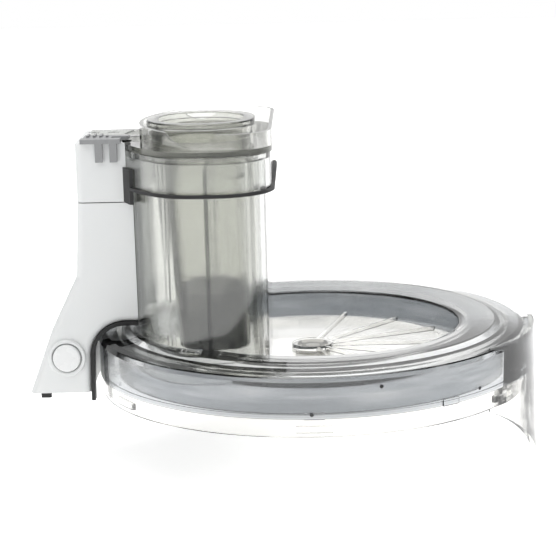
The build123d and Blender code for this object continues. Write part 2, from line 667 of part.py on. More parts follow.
with BuildPart() as arm_cap:
    add(slab(arm_outline(), CAP_Z, CAP_Z + CAP_HIGH))
    with BuildSketch(Plane.XY.offset(CAP_Z)):
        with Locations((ROD_X, ROD_Y)):
            Circle(ROD_R + 0.4)
        with Locations((STEM_X + BOLT_TRAVEL / 2, SLIDER_Y)):
            Rectangle(STEM_LONG + BOLT_TRAVEL + 0.6, STEM_WIDE + 0.6)
        with Locations(*CAP_SCREWS):
            Circle(HEAD_R + 0.2)
    extrude(amount=CAP_HIGH, mode=Mode.SUBTRACT)
save(arm_cap.part, "arm_cap")

with BuildPart() as arm_screws:
    with BuildSketch(Plane.XY.offset(CAP_Z + CAP_HIGH - 0.2)):
        with Locations(*CAP_SCREWS):
            Circle(HEAD_R)
    extrude(amount=-CAP_HIGH + 0.2)
    with BuildSketch(Plane.XY.offset(CAP_Z)):
        with Locations(*CAP_SCREWS):
            Circle(SCREW_R)
    extrude(amount=-12)
save(arm_screws.part, "arm_screws")

def trim_plan(clear_of_arm):
    """Plan of the black trim: a band on the sleeve, left off where the arm joins."""
    with BuildSketch() as plan:
        add(tube_outline(SLIP + SLEEVE_WALL + TRIM))
        add(tube_outline(SLIP + SLEEVE_WALL), mode=Mode.SUBTRACT)
        with Locations((TUBE_OUT_X, 0)):
            Rectangle(2 * TUBE_ARC_R, 2 * clear_of_arm, mode=Mode.SUBTRACT)
    return plan.sketch


with BuildPart() as sleeve_trim:
    # upright ends beside the arm, in front and behind
    with BuildSketch(Plane.XY.offset(ARM_Z)):
        add(trim_plan(HOUSE_HALF_Y + 0.1))
        with Locations((TUBE_OUT_X, 0)):
            Rectangle(60, 2 * (HOUSE_HALF_Y + TRIM_LONG), mode=Mode.INTERSECT)
    extrude(amount=TRIM_HIGH)
    # strip along the lower edge of the sleeve
    with BuildSketch(Plane.XY.offset(SLEEVE_Z)):
        add(tube_outline(SLIP + SLEEVE_WALL + TRIM))
        add(tube_outline(SLIP + SLEEVE_WALL), mode=Mode.SUBTRACT)
        with Locations((HOUSE_TOP_X, 0)):
            Rectangle(2 * (TUBE_ARC_R - 20), 2 * HOUSE_HALF_Y + 0.2, mode=Mode.SUBTRACT)
    extrude(amount=TRIM_EDGE)
save(sleeve_trim.part, "sleeve_trim")

with BuildPart() as actuator_plunger:
    with BuildSketch(Plane.XY.offset(SEAM_Z - 0.1)):
        with Locations((ROD_X, ROD_Y)):
            Circle(ROD_R)
    extrude(amount=CAP_Z + CAP_HIGH - 0.3 - SEAM_Z + 0.1)
    with BuildSketch(Plane.XY.offset(PLUNGER_COLLAR_Z)):
        with Locations((ROD_X, ROD_Y)):
            Circle(ROD_R + 1.5)
    extrude(amount=2)
save(actuator_plunger.part, "actuator_plunger")

with BuildPart() as pusher_lock_slider:
    # strip along the front of the arm, and the thumb plate behind it
    with BuildSketch(Plane.XY.offset(SLIDER_Z)):
        with Locations((STRIP_X[0], -HOUSE_HALF_Y - STRIP_OUT)):
            Rectangle(STRIP_X[1] - STRIP_X[0], STRIP_DEEP, align=(Align.MIN, Align.MIN))
        with Locations((THUMB_X[0], -HOUSE_HALF_Y - STRIP_OUT + STRIP_DEEP - 1)):
            Rectangle(THUMB_X[1] - THUMB_X[0], THUMB_DEEP, align=(Align.MIN, Align.MIN))
    extrude(amount=SLIDER_HIGH)
    # two prongs that hang in front of the arm
    with BuildSketch(Plane.XY.offset(SLIDER_Z)):
        with Locations(*((x, -HOUSE_HALF_Y - STRIP_OUT) for x in PRONG_X)):
            Rectangle(PRONG_WIDE, PRONG_THICK, align=(Align.CENTER, Align.MIN))
    extrude(amount=-PRONG_LONG)
    # grip ribs
    with BuildSketch(Plane.XY.offset(SLIDER_Z + SLIDER_HIGH)):
        with Locations(((THUMB_X[0] + THUMB_X[1]) / 2, SLIDER_Y - 1.5)):
            with GridLocations(3.0, 0, 4, 1):
                Rectangle(1.1, THUMB_DEEP - 4)
    extrude(amount=0.8)
    # slot for the tail of the bolt
    with BuildSketch(Plane.XY.offset(SLIDER_Z + 0.3)):
        with Locations((BOLT_TIP_X, SLIDER_Y)):
            Rectangle(BOLT_TIP_X - BOLT_TAIL_X, BOLT_WIDE, align=(Align.MAX, Align.CENTER))
    extrude(amount=4, mode=Mode.SUBTRACT)
    # stem and foot that hold it in the cap
    with BuildSketch(Plane.XY.offset(SLIDER_Z)):
        with Locations((STEM_X, SLIDER_Y)):
            Rectangle(STEM_LONG, STEM_WIDE)
    extrude(amount=-(SLIDER_Z - CAP_Z + 0.5))
    with BuildSketch(Plane.XY.offset(CAP_Z - 0.4)):
        with Locations((STEM_X, SLIDER_Y)):
            Rectangle(STEM_LONG, STEM_WIDE + 4)
    extrude(amount=-1.6)
save(pusher_lock_slider.part, "pusher_lock_slider")

# bolt towards the crown
with BuildPart() as lock_bolt:
    with BuildSketch(Plane.XY.offset(SLIDER_Z + 0.3)):
        with Locations((BOLT_TIP_X, SLIDER_Y)):
            Rectangle(BOLT_TIP_X - BOLT_TAIL_X, BOLT_WIDE, align=(Align.MAX, Align.CENTER))
    extrude(amount=SLIDER_HIGH - 0.3)
    chamfer(lock_bolt.edges().filter_by(Axis.Y).group_by(Axis.X)[-1], 0.5)
save(lock_bolt.part, "lock_bolt")


# ---------------------------------------------------------------- large pusher

with BuildPart() as large_pusher:
    add(slab(tube_outline(-PUSHER_INSET), PUSHER_Z + PLATE, CROWN_FOOT_Z))
    add(slab(tube_outline(-PUSHER_INSET - PUSHER_WALL), PUSHER_Z + PLATE, CROWN_FOOT_Z), mode=Mode.SUBTRACT)
    # the small feed tube, wider at its top
    add(small_solid(0, PUSHER_Z, SMALL_TOP_Z))
    add(small_solid(-PUSHER_WALL, PUSHER_Z, SMALL_TOP_Z), mode=Mode.SUBTRACT)
    # webs between the two tubes
    for side in (-1, 1):
        with BuildSketch(Plane.XY.offset(PUSHER_Z + PLATE)):
            with Locations((SMALL_X, side * (SMALL_LONG / 2 + TUBE_HALF_Y - PUSHER_INSET) / 2)):
                Rectangle(PUSHER_WALL, TUBE_HALF_Y - PUSHER_INSET - SMALL_LONG / 2 + 1)
        extrude(amount=CROWN_FOOT_Z - PUSHER_Z - PLATE - 6)
    add(small_solid(-PUSHER_WALL, PUSHER_Z, SMALL_TOP_Z), mode=Mode.SUBTRACT)
save(large_pusher.part, "large_pusher")

with BuildPart() as pusher_foot_plate:
    add(slab(tube_outline(-PUSHER_INSET), PUSHER_Z, PUSHER_Z + PLATE))
    add(small_solid(0, PUSHER_Z, SMALL_TOP_Z), mode=Mode.SUBTRACT)
save(pusher_foot_plate.part, "pusher_foot_plate")

def crown_rim(inset=0.0):
    """Plan of the rim of the crown."""
    with BuildSketch() as plan:
        with Locations((CROWN_SHIFT, 0)):
            add(tube_outline(CROWN_INSET - inset))
    return plan.sketch


with BuildPart() as pusher_crown:
    add(slab(tube_outline(CROWN_GROW), CROWN_FOOT_Z, CROWN_FOOT_Z + PLATE))
    add(slab(crown_rim(), CROWN_FOOT_Z, CROWN_Z))
    add(slab(crown_rim(PUSHER_WALL), CROWN_FOOT_Z + PLATE, CROWN_Z), mode=Mode.SUBTRACT)
    # finger hollows in the rim, front and back
    with BuildSketch(Plane.XZ):
        with Locations((SMALL_X - 6, CROWN_Z + 8)):
            Circle(14)
    extrude(amount=100, both=True, mode=Mode.SUBTRACT)
    # notch in the flange and window in the rim for the bolt of the lock
    with BuildSketch(Plane.XY.offset(CROWN_FOOT_Z)):
        with Locations((BOLT_TIP_X + 0.6, SLIDER_Y)):
            Rectangle(20, WINDOW_WIDE, align=(Align.MAX, Align.CENTER))
    extrude(amount=PLATE, mode=Mode.SUBTRACT)
    with BuildSketch(Plane.XY.offset(CROWN_FOOT_Z + PLATE)):
        with Locations((TUBE_OUT_X + CROWN_SHIFT, SLIDER_Y)):
            Rectangle(16, WINDOW_WIDE)
    extrude(amount=WINDOW_HIGH, mode=Mode.SUBTRACT)
    # tab that lies over the head of the plunger
    with BuildSketch(Plane.XY.offset(TAB_Z)):
        with Locations((ROD_X - 2.5, ROD_Y)):
            Rectangle(TUBE_OUT_X + CROWN_SHIFT + 3.4 - ROD_X + 2.5, 5, align=(Align.MIN, Align.CENTER))
    extrude(amount=2.2)
    add(small_solid(0, PUSHER_Z, SMALL_TOP_Z), mode=Mode.SUBTRACT)
save(pusher_crown.part, "pusher_crown")


# ---------------------------------------------------------------- small pusher

with BuildPart() as small_pusher_foot:
    add(small_solid(-SMALL_INSET, PUSHER_Z, FOOT_TOP_Z))
    add(small_solid(-SMALL_INSET - PUSHER_WALL, PUSHER_Z + 3, FOOT_TOP_Z), mode=Mode.SUBTRACT)
    # grooves across the face that meets the food
    with BuildSketch(Plane.XY.offset(PUSHER_Z)):
        with Locations((SMALL_X, 0)):
            with GridLocations(0, 5, 1, 9):
                Rectangle(SMALL_WIDE, 1.6)
    extrude(amount=1.2, mode=Mode.SUBTRACT)
save(small_pusher_foot.part, "small_pusher_foot")

with BuildPart() as small_pusher:
    add(small_solid(-SMALL_INSET, FOOT_TOP_Z, SMALL_TOP_Z + LIFT_GAP))
    add(small_solid(-SMALL_INSET - PUSHER_WALL, FOOT_TOP_Z, SMALL_TOP_Z + LIFT_GAP), mode=Mode.SUBTRACT)
save(small_pusher.part, "small_pusher")

with BuildPart() as small_pusher_rim:
    add(slab(small_outline(SMALL_TOP_Z, 1.5), SMALL_TOP_Z + LIFT_GAP, SMALL_TOP_Z + LIFT_GAP + 3))
    add(slab(small_outline(SMALL_TOP_Z + LIFT_GAP, -SMALL_INSET - PUSHER_WALL), SMALL_TOP_Z, SMALL_TOP_Z + 5),
        mode=Mode.SUBTRACT)
    fillet(small_pusher_rim.edges().group_by(Axis.Z)[-1], 0.8)
save(small_pusher_rim.part, "small_pusher_rim")
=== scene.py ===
# %% [markdown]
# # Work-bowl cover of a food processor
#
# The lid of a food processor is the most complicated piece of clear plastic in a kitchen. It carries a
# wide feed tube, two pushers that slide in each other, a white housing that hides the safety interlock,
# and a tab that locks the lid to the machine. The shapes and the joints come from the CAD frame. What
# this lesson adds is the finish: polished polycarbonate that reads as clear and not as grey fog, a satin
# white moulding, and the small things that a mould and a hand leave behind.

# %% Load the frame
import math

import bmesh
import bpy
from mathutils import Matrix, Vector


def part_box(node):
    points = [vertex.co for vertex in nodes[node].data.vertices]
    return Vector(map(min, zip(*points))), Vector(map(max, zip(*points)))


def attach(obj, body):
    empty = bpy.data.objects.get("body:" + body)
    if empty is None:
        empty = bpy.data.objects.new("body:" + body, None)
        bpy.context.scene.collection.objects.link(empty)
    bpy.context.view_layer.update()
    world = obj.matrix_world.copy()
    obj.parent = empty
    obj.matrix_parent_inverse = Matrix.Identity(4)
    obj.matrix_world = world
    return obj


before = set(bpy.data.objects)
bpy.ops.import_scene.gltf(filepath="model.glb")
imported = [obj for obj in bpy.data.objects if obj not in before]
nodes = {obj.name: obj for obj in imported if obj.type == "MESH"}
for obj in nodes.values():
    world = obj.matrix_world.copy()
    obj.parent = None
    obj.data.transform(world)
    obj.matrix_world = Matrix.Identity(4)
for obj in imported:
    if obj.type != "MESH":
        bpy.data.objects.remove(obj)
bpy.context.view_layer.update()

# %% [markdown]
# Lengths are easier to read in millimetres, and Blender works in metres here, so one small value turns
# the one into the other. Places are read from the boxes of the CAD nodes, so that every added piece sits
# on the piece it belongs to.

# %% Units and places
MM = 0.001


def low(name):
    return Vector(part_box(name)[0])


def high(name):
    return Vector(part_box(name)[1])


SPIGOT_FOOT = -17.5 * MM      # lower end of the double wall of the cover
TIP = low("cover").z          # the tip of the locking tab is the lowest point
print("cover", low("cover"), high("cover"))

# %% [markdown]
# ## Camera
#
# A catalogue picture of a lid is taken with a long lens from a little above, so that the ellipse of the
# rim stays slim and the upright parts stay nearly parallel. The camera stands nine tenths of a metre away,
# and a small shift of the film moves the lid in the frame without turning the camera away from it.

# %% Camera
ELEVATION = math.radians(14.3)
ROLL = math.radians(1.2)
DISTANCE = 0.9
TARGET = Vector((0, 0, SPIGOT_FOOT))
LENS = 119.5
SHIFT = (-0.0631, 0.1491)


def make_camera():
    right = Vector((1, 0, 0))
    up = Vector((0, math.sin(ELEVATION), math.cos(ELEVATION)))
    back = right.cross(up)
    turned_right = right * math.cos(ROLL) - up * math.sin(ROLL)
    turned_up = up * math.cos(ROLL) + right * math.sin(ROLL)
    data = bpy.data.cameras.new("catalogue_camera")
    data.lens = LENS
    data.shift_x, data.shift_y = SHIFT
    data.clip_start = 0.05
    camera = bpy.data.objects.new("catalogue_camera", data)
    turn = Matrix((turned_right, turned_up, back)).transposed().to_4x4()
    camera.matrix_world = Matrix.Translation(TARGET + back * DISTANCE) @ turn
    bpy.context.collection.objects.link(camera)
    bpy.context.scene.camera = camera
    return camera


camera = make_camera()
print("camera at", tuple(round(v, 3) for v in camera.location))

# %% [markdown]
# ## Light
#
# Clear plastic has no colour of its own, so it shows what is around it. A lid in an evenly white room
# would vanish. A photographer keeps the backdrop white and lets the sides of the studio fall off to grey,
# and the walls of the plastic pick up that grey as soft dark edges. Here the world is that studio: white
# in front, behind and above, darker towards the sides and near the floor line. Two large soft lamps add
# the long highlights. The table is lit a little from below, as a light table is, so the shadow stays thin.

# %% Studio world
def make_world():
    world = bpy.data.worlds.new("studio")
    world.use_nodes = True
    tree = world.node_tree
    tree.nodes.clear()
    place = tree.nodes.new("ShaderNodeTexCoord")
    split = tree.nodes.new("ShaderNodeSeparateXYZ")
    tree.links.new(place.outputs["Generated"], split.inputs[0])
    side = tree.nodes.new("ShaderNodeMath")
    side.operation = "ABSOLUTE"
    tree.links.new(split.outputs["X"], side.inputs[0])
    # white behind the lid and in front of it, dark flags at the two sides
    flags = tree.nodes.new("ShaderNodeValToRGB")
    flags.color_ramp.interpolation = "EASE"
    flags.color_ramp.elements[0].position = 0.42
    flags.color_ramp.elements[0].color = (1.0, 1.0, 1.0, 1)
    flags.color_ramp.elements[1].position = 0.80
    flags.color_ramp.elements[1].color = (0.09, 0.093, 0.095, 1)
    tree.links.new(side.outputs[0], flags.inputs[0])
    # the ceiling is a soft box, brighter than the walls
    ceiling = tree.nodes.new("ShaderNodeMapRange")
    ceiling.inputs["From Min"].default_value = 0.35
    ceiling.inputs["From Max"].default_value = 0.90
    ceiling.inputs["To Min"].default_value = 1.0
    ceiling.inputs["To Max"].default_value = 2.1
    tree.links.new(split.outputs["Z"], ceiling.inputs["Value"])
    # the wall behind the camera is grey, so that white mouldings keep their shade
    front = tree.nodes.new("ShaderNodeMapRange")
    front.inputs["From Min"].default_value = -0.75
    front.inputs["From Max"].default_value = 0.10
    front.inputs["To Min"].default_value = 0.42
    front.inputs["To Max"].default_value = 1.0
    tree.links.new(split.outputs["Y"], front.inputs["Value"])
    strength = tree.nodes.new("ShaderNodeMath")
    strength.operation = "MULTIPLY"
    tree.links.new(ceiling.outputs[0], strength.inputs[0])
    tree.links.new(front.outputs[0], strength.inputs[1])
    background = tree.nodes.new("ShaderNodeBackground")
    output = tree.nodes.new("ShaderNodeOutputWorld")
    tree.links.new(flags.outputs[0], background.inputs["Color"])
    tree.links.new(strength.outputs[0], background.inputs["Strength"])
    tree.links.new(background.outputs[0], output.inputs[0])
    bpy.context.scene.world = world


make_world()

# %% Lamps and floor
def soft_lamp(name, place, aim, size, power):
    data = bpy.data.lights.new(name, "AREA")
    data.shape = "RECTANGLE"
    data.size, data.size_y = size
    data.energy = power
    lamp = bpy.data.objects.new(name, data)
    lamp.location = place
    lamp.rotation_euler = (Vector(aim) - Vector(place)).to_track_quat("-Z", "Y").to_euler()
    bpy.context.collection.objects.link(lamp)
    return lamp


soft_lamp("key_lamp", (-0.70, -0.80, 0.90), (0, 0, 0), (0.5, 0.5), 3.0)
soft_lamp("edge_lamp", (0.95, -0.35, 0.45), (0, 0, 0), (0.15, 0.8), 0.7)


def make_floor():
    shape = bmesh.new()
    bmesh.ops.create_grid(shape, x_segments=1, y_segments=1, size=3.0)
    bmesh.ops.translate(shape, verts=shape.verts, vec=(0, 0, TIP - 0.2 * MM))
    mesh = bpy.data.meshes.new("floor")
    shape.to_mesh(mesh)
    shape.free()
    floor = bpy.data.objects.new("floor", mesh)
    bpy.context.collection.objects.link(floor)
    paint = bpy.data.materials.new("pale_floor")
    paint.use_nodes = True
    shader = paint.node_tree.nodes["Principled BSDF"]
    shader.inputs["Base Color"].default_value = (0.95, 0.95, 0.95, 1)
    shader.inputs["Roughness"].default_value = 0.9
    shader.inputs["Emission Color"].default_value = (1, 1, 1, 1)
    shader.inputs["Emission Strength"].default_value = 0.45
    mesh.materials.append(paint)
    return floor


make_floor()

# %% [markdown]
# ## Rays through clear walls
#
# Looking through the feed tube, a ray meets the tube, the sleeve, two pushers and then the same walls
# again on the far side: more than twenty surfaces. The usual twelve bounces would end in black, so the
# limits are raised.

# %% Ray limits
cycles = bpy.context.scene.cycles
cycles.max_bounces = 40
cycles.transmission_bounces = 40
cycles.transparent_max_bounces = 40
bpy.context.scene.view_settings.view_transform = "Standard"

# %% [markdown]
# ## Shared effects
#
# Three effects come back in almost every finish. `handled` is the faint unevenness of gloss where fingers
# and cloths have been. `mould_skin` is the very fine texture that a steel mould leaves on satin plastic.
# `flecks` is a mask of small irregular spots, which shifts a dyed colour a little. Each is built once as a
# node group with its own inputs, and each material gives it its own values.

# %% Helpers for node groups
def new_group(name, inputs, outputs):
    """A shader node group with number inputs {name: value}, and outputs [(name, socket type)]."""
    group = bpy.data.node_groups.new(name, "ShaderNodeTree")
    for label, value in inputs.items():
        socket = group.interface.new_socket(label, in_out="INPUT", socket_type="NodeSocketFloat")
        socket.default_value = value
    for label, kind in outputs:
        group.interface.new_socket(label, in_out="OUTPUT", socket_type=kind)
    start = group.nodes.new("NodeGroupInput")
    end = group.nodes.new("NodeGroupOutput")
    return group, start, end


def noise_on(group, start, scale_input, detail):
    """Noise on object coordinates whose scale is one of the group's inputs."""
    place = group.nodes.new("ShaderNodeTexCoord")
    noise = group.nodes.new("ShaderNodeTexNoise")
    noise.inputs["Detail"].default_value = detail
    group.links.new(place.outputs["Object"], noise.inputs["Vector"])
    group.links.new(start.outputs[scale_input], noise.inputs["Scale"])
    return noise


# %% Handled gloss
def make_handled():
    """Roughness that wanders between two values in soft patches."""
    group, start, end = new_group(
        "handled", {"Scale": 25.0, "Smooth": 0.05, "Dull": 0.12}, [("Roughness", "NodeSocketFloat")]
    )
    noise = noise_on(group, start, "Scale", 4.0)
    spread = group.nodes.new("ShaderNodeMapRange")
    spread.inputs["From Min"].default_value = 0.35
    spread.inputs["From Max"].default_value = 0.72
    group.links.new(noise.outputs["Fac"], spread.inputs["Value"])
    group.links.new(start.outputs["Smooth"], spread.inputs["To Min"])
    group.links.new(start.outputs["Dull"], spread.inputs["To Max"])
    group.links.new(spread.outputs["Result"], end.inputs["Roughness"])
    return group


handled = make_handled()

# %% Mould skin
def make_mould_skin():
    """A very fine height: the spark-eroded surface of a mould, with a slow waviness under it."""
    group, start, end = new_group(
        "mould_skin", {"Grain Scale": 2500.0, "Wave Scale": 40.0, "Grain": 0.6}, [("Height", "NodeSocketFloat")]
    )
    grain = noise_on(group, start, "Grain Scale", 2.0)
    wave = noise_on(group, start, "Wave Scale", 1.0)
    mix = group.nodes.new("ShaderNodeMix")
    mix.data_type = "FLOAT"
    group.links.new(start.outputs["Grain"], mix.inputs["Factor"])
    group.links.new(wave.outputs["Fac"], mix.inputs[2])
    group.links.new(grain.outputs["Fac"], mix.inputs[3])
    group.links.new(mix.outputs[0], end.inputs["Height"])
    return group


mould_skin = make_mould_skin()

# %% Flecks
def make_flecks():
    """A mask of small irregular flecks, for dust, wear and specks in a dyed plastic."""
    group, start, end = new_group(
        "flecks", {"Scale": 300.0, "Amount": 0.4, "Strength": 1.0}, [("Mask", "NodeSocketFloat")]
    )
    noise = noise_on(group, start, "Scale", 6.0)
    invert = group.nodes.new("ShaderNodeMath")
    invert.operation = "SUBTRACT"
    invert.inputs[0].default_value = 1.0
    group.links.new(start.outputs["Amount"], invert.inputs[1])
    spread = group.nodes.new("ShaderNodeMapRange")
    spread.inputs["From Max"].default_value = 0.9
    group.links.new(noise.outputs["Fac"], spread.inputs["Value"])
    group.links.new(invert.outputs[0], spread.inputs["From Min"])
    scale = group.nodes.new("ShaderNodeMath")
    scale.operation = "MULTIPLY"
    group.links.new(spread.outputs["Result"], scale.inputs[0])
    group.links.new(start.outputs["Strength"], scale.inputs[1])
    group.links.new(scale.outputs[0], end.inputs["Mask"])
    return group


flecks = make_flecks()
print("node groups", [g.name for g in bpy.data.node_groups])

# %% [markdown]
# ## Clear polycarbonate
#
# The lid is moulded polycarbonate. It could be faked with a thin see-through skin, but the lid's walls are
# real solids with an inside and an outside, so real refraction works: edges go dark, double walls go grey,
# and the pusher bends what is behind it. Lamps would throw hard black shadows through such glass, so rays
# from lamps pass straight on.
#
# Thick clear plastic also swallows a little light on the way. A volume absorption inside the solid does
# this: a ray that crosses a wall loses almost nothing, and a ray that runs along a wall comes out grey.
# That is what draws the dark upright lines where a tube's wall is seen edge on.
#
# The band of the cover gets painted shade: its double wall goes grey by refraction, and a grey tint is painted
# over it. A mask from the height and the distance to the axis lays that painted shade over the band and the
# wall of the dish, darkest along the foot of the band with uneven streaks, and leaves the deck and the lower
# skirt clear.

# %% Helpers for materials
def group_node(tree, group, **values):
    node = tree.nodes.new("ShaderNodeGroup")
    node.node_tree = group
    for label, value in values.items():
        node.inputs[label.replace("_", " ")].default_value = value
    return node


def math_node(tree, operation, first, second):
    """A maths node; each input is a number or an output of another node."""
    node = tree.nodes.new("ShaderNodeMath")
    node.operation = operation
    for socket, value in zip(node.inputs, (first, second)):
        if isinstance(value, (int, float)):
            socket.default_value = value
        else:
            tree.links.new(value, socket)
    return node.outputs[0]


def step_node(tree, value, start, end):
    """0 below start, 1 above end, smooth between."""
    node = tree.nodes.new("ShaderNodeMapRange")
    node.interpolation_type = "SMOOTHSTEP"
    node.inputs["From Min"].default_value = start
    node.inputs["From Max"].default_value = end
    tree.links.new(value, node.inputs["Value"])
    return node.outputs["Result"]


# %% Clear plastic
def clear_plastic(name, tint, smooth, dull, density):
    paint = bpy.data.materials.new(name)
    paint.use_nodes = True
    tree = paint.node_tree
    shader = tree.nodes["Principled BSDF"]
    output = tree.nodes["Material Output"]
    shader.inputs["Base Color"].default_value = (*tint, 1)
    shader.inputs["Transmission Weight"].default_value = 1.0
    shader.inputs["IOR"].default_value = 1.5
    gloss = group_node(tree, handled, Scale=30.0, Smooth=smooth, Dull=dull)
    tree.links.new(gloss.outputs["Roughness"], shader.inputs["Roughness"])
    skin = group_node(tree, mould_skin, Wave_Scale=60.0, Grain=0.0)
    bump = tree.nodes.new("ShaderNodeBump")
    bump.inputs["Strength"].default_value = 0.06
    bump.inputs["Distance"].default_value = 0.4 * MM
    tree.links.new(skin.outputs["Height"], bump.inputs["Height"])
    tree.links.new(bump.outputs["Normal"], shader.inputs["Normal"])
    path = tree.nodes.new("ShaderNodeLightPath")
    open_way = tree.nodes.new("ShaderNodeBsdfTransparent")
    open_way.inputs["Color"].default_value = (0.96, 0.96, 0.96, 1)
    mix = tree.nodes.new("ShaderNodeMixShader")
    tree.links.new(path.outputs["Is Shadow Ray"], mix.inputs[0])
    tree.links.new(shader.outputs[0], mix.inputs[1])
    tree.links.new(open_way.outputs[0], mix.inputs[2])
    tree.links.new(mix.outputs[0], output.inputs["Surface"])
    smoke = tree.nodes.new("ShaderNodeVolumeAbsorption")
    smoke.inputs["Color"].default_value = (0.55, 0.56, 0.54, 1)
    smoke.inputs["Density"].default_value = density
    tree.links.new(smoke.outputs[0], output.inputs["Volume"])
    return paint


def paint_band_shade(paint, clear, shade_colour):
    """Paint shade on the band and the dish wall of the cover, by height and by distance to the axis."""
    tree = paint.node_tree
    shader = tree.nodes["Principled BSDF"]
    place = tree.nodes.new("ShaderNodeTexCoord")
    split = tree.nodes.new("ShaderNodeSeparateXYZ")
    tree.links.new(place.outputs["Object"], split.inputs[0])
    flat = tree.nodes.new("ShaderNodeVectorMath")
    flat.operation = "MULTIPLY"
    flat.inputs[1].default_value = (1, 1, 0)
    tree.links.new(place.outputs["Object"], flat.inputs[0])
    length = tree.nodes.new("ShaderNodeVectorMath")
    length.operation = "LENGTH"
    tree.links.new(flat.outputs[0], length.inputs[0])
    radius = length.outputs["Value"]
    height = split.outputs["Z"]
    outside = step_node(tree, radius, 66.0 * MM, 69.0 * MM)
    above_skirt = step_node(tree, height, SPIGOT_FOOT - 0.6 * MM, SPIGOT_FOOT + 0.4 * MM)
    below_top = math_node(tree, "SUBTRACT", 1.0, step_node(tree, height, 0.5 * MM, 4.0 * MM))
    body = math_node(tree, "MULTIPLY", math_node(tree, "MULTIPLY", outside, above_skirt),
                     math_node(tree, "ADD", 0.35, math_node(tree, "MULTIPLY", below_top, 0.65)))
    streaks = tree.nodes.new("ShaderNodeTexNoise")
    streaks.inputs["Scale"].default_value = 1.0
    streaks.inputs["Detail"].default_value = 3.0
    stretch = tree.nodes.new("ShaderNodeVectorMath")
    stretch.operation = "MULTIPLY"
    stretch.inputs[1].default_value = (22.0, 22.0, 320.0)
    tree.links.new(place.outputs["Object"], stretch.inputs[0])
    tree.links.new(stretch.outputs[0], streaks.inputs["Vector"])
    uneven = math_node(tree, "ADD", 0.35, math_node(tree, "MULTIPLY", streaks.outputs["Fac"], 1.1))
    # painted shade, darkest along the foot of the band
    foot = math_node(tree, "SUBTRACT", 1.0, step_node(tree, height, SPIGOT_FOOT, SPIGOT_FOOT + 6.0 * MM))
    shade_depth = math_node(tree, "ADD", uneven, math_node(tree, "MULTIPLY", foot, 0.45))
    mask = math_node(tree, "MULTIPLY", body, shade_depth)
    blend = tree.nodes.new("ShaderNodeMix")
    blend.data_type = "RGBA"
    blend.inputs[6].default_value = (*clear, 1)
    blend.inputs[7].default_value = (*shade_colour, 1)
    tree.links.new(mask, blend.inputs[0])
    tree.links.new(blend.outputs[2], shader.inputs["Base Color"])


cover_clear = clear_plastic("cover_polycarbonate", (0.97, 0.975, 0.965), 0.04, 0.13, 22.0)
# painted shade: the band and the dish wall of the cover darken towards the grey given last
paint_band_shade(cover_clear, (0.955, 0.950, 0.930), (0.50, 0.515, 0.53))
tube_clear = clear_plastic("tube_polycarbonate", (0.93, 0.935, 0.925), 0.03, 0.09, 60.0)
pusher_clear = clear_plastic("pusher_polycarbonate", (0.93, 0.93, 0.910), 0.03, 0.10, 95.0)

# %% [markdown]
# ## Coloured plastics, rubber and steel
#
# The housing, the arm with its cap, and the bezel are white ABS with a satin mould finish, which yellows a
# trace in use. The lock slider and its bolt are a mid grey. The foot of the small pusher is dark grey with
# finer gloss, because it is wiped every day. All of them are one function with different values.

# %% Solid plastics
def solid_plastic(name, colour, other, rough, grain_depth):
    """A dyed plastic: colour wanders a little towards other, and the mould skin gives the sheen its grain."""
    paint = bpy.data.materials.new(name)
    paint.use_nodes = True
    tree = paint.node_tree
    shader = tree.nodes["Principled BSDF"]
    mask = group_node(tree, flecks, Scale=120.0, Amount=0.62, Strength=0.25)
    blend = tree.nodes.new("ShaderNodeMix")
    blend.data_type = "RGBA"
    blend.inputs[6].default_value = (*colour, 1)
    blend.inputs[7].default_value = (*other, 1)
    tree.links.new(mask.outputs["Mask"], blend.inputs[0])
    tree.links.new(blend.outputs[2], shader.inputs["Base Color"])
    gloss = group_node(tree, handled, Scale=45.0, Smooth=rough * 0.85, Dull=rough * 1.2)
    tree.links.new(gloss.outputs["Roughness"], shader.inputs["Roughness"])
    skin = group_node(tree, mould_skin, Grain_Scale=2200.0, Wave_Scale=50.0, Grain=0.75)
    bump = tree.nodes.new("ShaderNodeBump")
    bump.inputs["Strength"].default_value = 0.25
    bump.inputs["Distance"].default_value = grain_depth
    tree.links.new(skin.outputs["Height"], bump.inputs["Height"])
    tree.links.new(bump.outputs["Normal"], shader.inputs["Normal"])
    shader.inputs["IOR"].default_value = 1.5
    return paint


white_abs = solid_plastic("white_abs", (0.74, 0.755, 0.755), (0.77, 0.765, 0.74), 0.38, 0.05 * MM)
button_white = solid_plastic("button_white", (0.80, 0.81, 0.81), (0.78, 0.775, 0.75), 0.28, 0.03 * MM)
mid_grey = solid_plastic("mid_grey", (0.27, 0.275, 0.28), (0.33, 0.33, 0.33), 0.42, 0.06 * MM)
foot_grey = solid_plastic("foot_grey", (0.022, 0.023, 0.024), (0.04, 0.04, 0.04), 0.35, 0.05 * MM)
# black: rubber for the feet of the housing, and painted shade where black strips, spots and bars are laid into
# gaps and recesses
black_rubber = solid_plastic("black_rubber", (0.012, 0.012, 0.013), (0.03, 0.03, 0.03), 0.60, 0.08 * MM)
nylon = solid_plastic("natural_nylon", (0.62, 0.60, 0.54), (0.66, 0.65, 0.60), 0.45, 0.05 * MM)

# %% Steel
def make_steel():
    paint = bpy.data.materials.new("zinc_steel")
    paint.use_nodes = True
    tree = paint.node_tree
    shader = tree.nodes["Principled BSDF"]
    shader.inputs["Base Color"].default_value = (0.60, 0.60, 0.61, 1)
    shader.inputs["Metallic"].default_value = 1.0
    gloss = group_node(tree, handled, Scale=400.0, Smooth=0.22, Dull=0.40)
    tree.links.new(gloss.outputs["Roughness"], shader.inputs["Roughness"])
    return paint


zinc_steel = make_steel()
